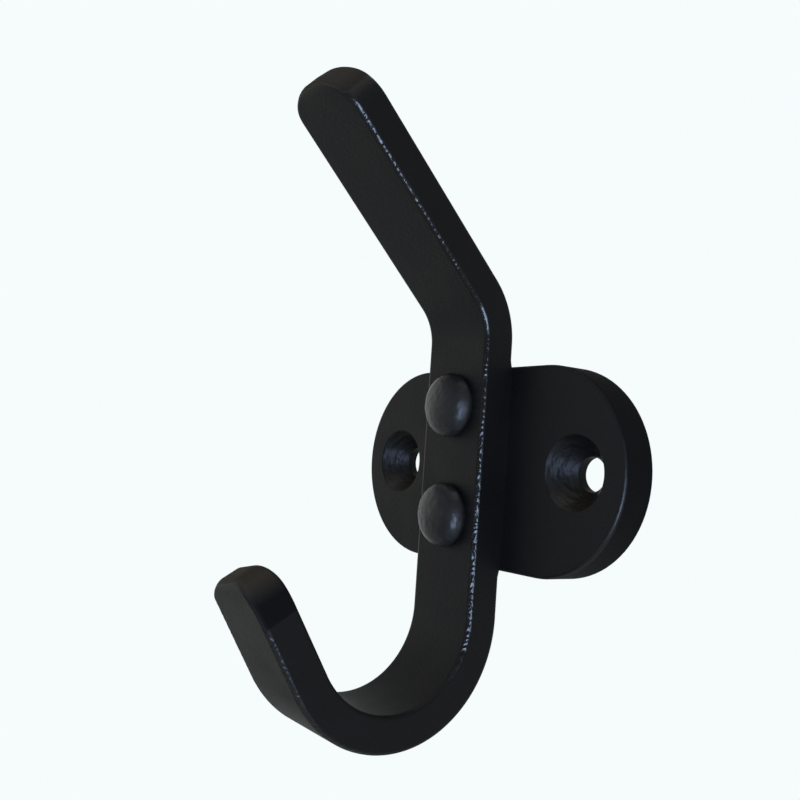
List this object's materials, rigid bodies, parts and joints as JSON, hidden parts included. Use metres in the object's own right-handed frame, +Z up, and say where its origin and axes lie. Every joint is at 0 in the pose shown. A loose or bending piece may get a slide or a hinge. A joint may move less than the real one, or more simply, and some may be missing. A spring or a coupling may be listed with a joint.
{
  "type": "clothes hook",
  "caption": "Flat steel bar bent into a leaning upper arm and a J-shaped lower hook, riveted to an oblong wall plate with countersunk screw holes.",
  "frame": {"origin": "middle of the plate's back face, where it meets the wall", "axes": "+X along the plate, to the right of someone facing the wall; +Y into the wall; +Z up"},
  "size_m": [0.064, 0.0521, 0.1049],
  "materials": {
    "bar_paint": "satin black paint, worn rough along the edges",
    "plate_paint": "satin black paint",
    "rivet_paint": "satin black paint over dimpled heads"
  },
  "bodies": {
    "root": {"hook_bar": "bar_paint", "back_plate": "plate_paint", "rivets": "rivet_paint"}
  },
  "joints": []
}
